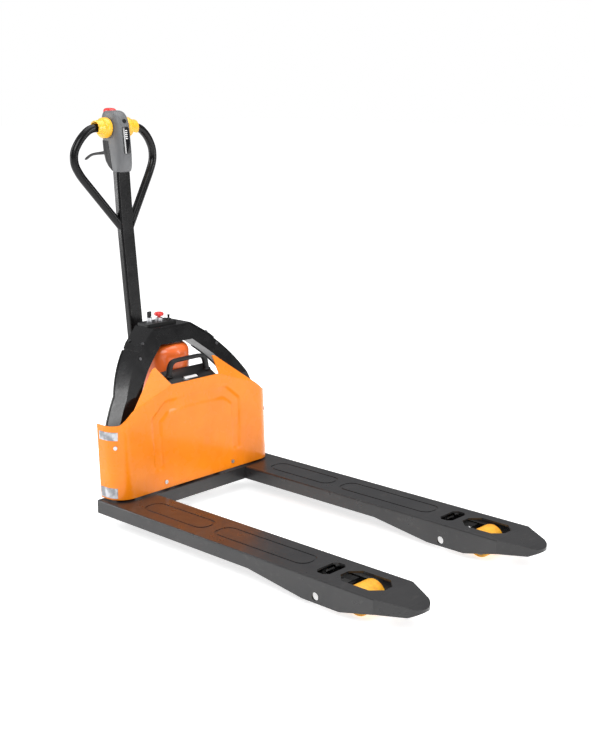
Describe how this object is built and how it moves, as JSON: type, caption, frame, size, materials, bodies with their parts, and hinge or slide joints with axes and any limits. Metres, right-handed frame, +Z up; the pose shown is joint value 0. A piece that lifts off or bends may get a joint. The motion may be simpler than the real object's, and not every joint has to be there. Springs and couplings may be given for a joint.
{
  "type": "electric pallet truck",
  "caption": "Walk-behind electric pallet truck with twin forks, orange casing under a black arch, removable battery, pump-coaxial drive wheel and a tilting tiller with loop handle.",
  "frame": {"origin": "middle of the footprint box, at floor level under the wheels", "axes": "+X towards the fork tips, +Y to the left fork as seen from behind the tiller, +Z up"},
  "size_m": [1.605, 0.685, 1.2211],
  "materials": {
    "charcoal_paint": "semi-gloss charcoal powder coat",
    "black_paint": "satin black powder coat",
    "orange_paint": "gloss orange paint over pressed sheet",
    "orange_cast": "gloss orange paint over a cast body",
    "black_plastic": "textured black plastic",
    "grey_plastic": "fine textured grey plastic",
    "yellow_plastic": "yellow plastic",
    "red_plastic": "red plastic",
    "steel": "zinc plated steel",
    "cast_grey": "cast and painted grey",
    "drive_rubber": "black rubber",
    "load_urethane": "yellow polyurethane",
    "reflective": "silver reflective film",
    "display_black": "black glossy panel",
    "gauge_label": "pale indicator strip"
  },
  "bodies": {
    "chassis": {"fork_right": "charcoal_paint", "fork_left": "charcoal_paint", "base_frame": "charcoal_paint", "rocker_bushes": "steel", "load_arm_pins": "steel", "arch_frame": "black_paint", "arch_back_strips": "black_paint", "arch_cover": "black_paint", "arch_bolts": "steel", "body_cover": "orange_paint", "cover_screws": "steel", "reflector_strips": "reflective", "battery_tray": "black_paint", "controller_box": "black_plastic", "lift_piston": "steel", "console_base": "black_plastic", "switch_collars": "black_plastic", "key_barrel": "steel"},
    "battery": {"battery_case": "black_plastic", "battery_lid": "black_plastic", "battery_handle": "black_plastic", "battery_gauge": "gauge_label"},
    "lift_yoke": {"yoke": "black_paint", "thrust_bearing": "steel"},
    "steer_unit": {"pump_body": "orange_cast", "pump_base": "black_paint", "filler_plug": "steel", "tilt_pin": "steel", "wheel_bracket": "black_paint", "drive_axle": "steel"},
    "drive_wheel": {"drive_tyre": "drive_rubber", "drive_hub": "cast_grey"},
    "rocker": {"rocker": "black_paint"},
    "tiller": {"tiller_tube": "black_paint", "tiller_knuckle": "black_paint", "loop_handle": "black_paint", "head_shell": "grey_plastic", "head_rear_cover": "black_plastic", "display_panel": "display_black", "lever_pin": "steel"},
    "throttle": {"throttle_wings": "yellow_plastic", "throttle_sleeve": "steel"},
    "release_lever": {"release_lever": "black_plastic"},
    "belly_button": {"belly_button": "red_plastic"},
    "horn_button": {"horn_button": "black_plastic"},
    "stop_button": {"stop_button": "red_plastic"},
    "key": {"key_knob": "black_plastic"},
    "toggle": {"toggle_lever": "black_plastic"},
    "push_rod_right": {"push_rod_right": "black_paint"},
    "load_arm_right": {"load_arm_right": "black_paint", "load_axle_right": "steel"},
    "load_wheel_right": {"load_tyre_right": "load_urethane", "load_core_right": "cast_grey", "load_bearings_right": "steel"},
    "push_rod_left": {"push_rod_left": "black_paint"},
    "load_arm_left": {"load_arm_left": "black_paint", "load_axle_left": "steel"},
    "load_wheel_left": {"load_tyre_left": "load_urethane", "load_core_left": "cast_grey", "load_bearings_left": "steel"}
  },
  "joints": [
    {"name": "lift", "type": "slide", "parent": "chassis", "child": "lift_yoke", "axis": [0, 0, -1], "range_m": [0, 0.11]},
    {"name": "steer", "type": "hinge", "parent": "lift_yoke", "child": "steer_unit", "pos_m": [-0.4335, 0, 0.105], "axis": [0, 0, 1], "range_deg": [-50, 50]},
    {"name": "drive_spin", "type": "hinge", "parent": "steer_unit", "child": "drive_wheel", "pos_m": [-0.4335, 0, 0.105], "axis": [0, 1, 0], "continuous": true},
    {"name": "tiller_tilt", "type": "hinge", "parent": "steer_unit", "child": "tiller", "pos_m": [-0.5305, 0, 0.3], "axis": [0, 1, 0], "range_deg": [-72, 0], "stiffness_Nm_per_rad": 40, "springref_deg": 17.19},
    {"name": "throttle", "type": "hinge", "parent": "tiller", "child": "throttle", "pos_m": [-0.6445, 0, 1.16], "axis": [0, 1, 0], "range_deg": [-30, 30], "stiffness_Nm_per_rad": 0.6},
    {"name": "release_lever", "type": "hinge", "parent": "tiller", "child": "release_lever", "pos_m": [-0.6765, 0, 1.083], "axis": [0, 1, 0], "range_deg": [0, 12], "stiffness_Nm_per_rad": 1.5, "springref_deg": -5.73},
    {"name": "belly_button", "type": "slide", "parent": "tiller", "child": "belly_button", "axis": [0, 0, -1], "range_m": [0, 0.004], "stiffness_N_per_m": 1500, "springref_m": -0.001},
    {"name": "horn_button", "type": "slide", "parent": "tiller", "child": "horn_button", "axis": [-0.9292, 0, -0.3697], "range_m": [0, 0.0018], "stiffness_N_per_m": 500, "springref_m": -0.0005},
    {"name": "battery_lift_out", "type": "slide", "parent": "chassis", "child": "battery", "axis": [0, 0, 1], "range_m": [0, 0.26]},
    {"name": "stop_button", "type": "slide", "parent": "chassis", "child": "stop_button", "axis": [0, 0, -1], "range_m": [0, 0.003], "stiffness_N_per_m": 1500, "springref_m": -0.001},
    {"name": "key", "type": "hinge", "parent": "chassis", "child": "key", "pos_m": [-0.4525, -0.044, 0.585], "axis": [0, 0, 1], "range_deg": [0, 90]},
    {"name": "toggle", "type": "hinge", "parent": "chassis", "child": "toggle", "pos_m": [-0.4445, 0.028, 0.572], "axis": [0, 1, 0], "range_deg": [-14, 14], "stiffness_Nm_per_rad": 0.05},
    {"name": "rocker", "type": "hinge", "parent": "chassis", "child": "rocker", "pos_m": [-0.2905, 0, 0.062], "axis": [0, 1, 0], "range_deg": [-46.4, 0]},
    {"name": "push_rod_right", "type": "slide", "parent": "chassis", "child": "push_rod_right", "axis": [1, 0, 0], "range_m": [0, 0.0204]},
    {"name": "load_arm_right", "type": "hinge", "parent": "chassis", "child": "load_arm_right", "pos_m": [0.4615, -0.265, 0.04], "axis": [0, 1, 0], "range_deg": [0, 46.4]},
    {"name": "load_wheel_right", "type": "hinge", "parent": "load_arm_right", "child": "load_wheel_right", "pos_m": [0.6135, -0.265, 0.04], "axis": [0, 1, 0], "continuous": true},
    {"name": "push_rod_left", "type": "slide", "parent": "chassis", "child": "push_rod_left", "axis": [1, 0, 0], "range_m": [0, 0.0204]},
    {"name": "load_arm_left", "type": "hinge", "parent": "chassis", "child": "load_arm_left", "pos_m": [0.4615, 0.265, 0.04], "axis": [0, 1, 0], "range_deg": [0, 46.4]},
    {"name": "load_wheel_left", "type": "hinge", "parent": "load_arm_left", "child": "load_wheel_left", "pos_m": [0.6135, 0.265, 0.04], "axis": [0, 1, 0], "continuous": true}
  ],
  "couplings": [
    {"joint": "rocker", "follows": "lift", "rad_per_m": -7.3557},
    {"joint": "push_rod_right", "follows": "lift", "ratio": 0.1842},
    {"joint": "load_arm_right", "follows": "lift", "rad_per_m": 7.3557},
    {"joint": "push_rod_left", "follows": "lift", "ratio": 0.1842},
    {"joint": "load_arm_left", "follows": "lift", "rad_per_m": 7.3557}
  ]
}
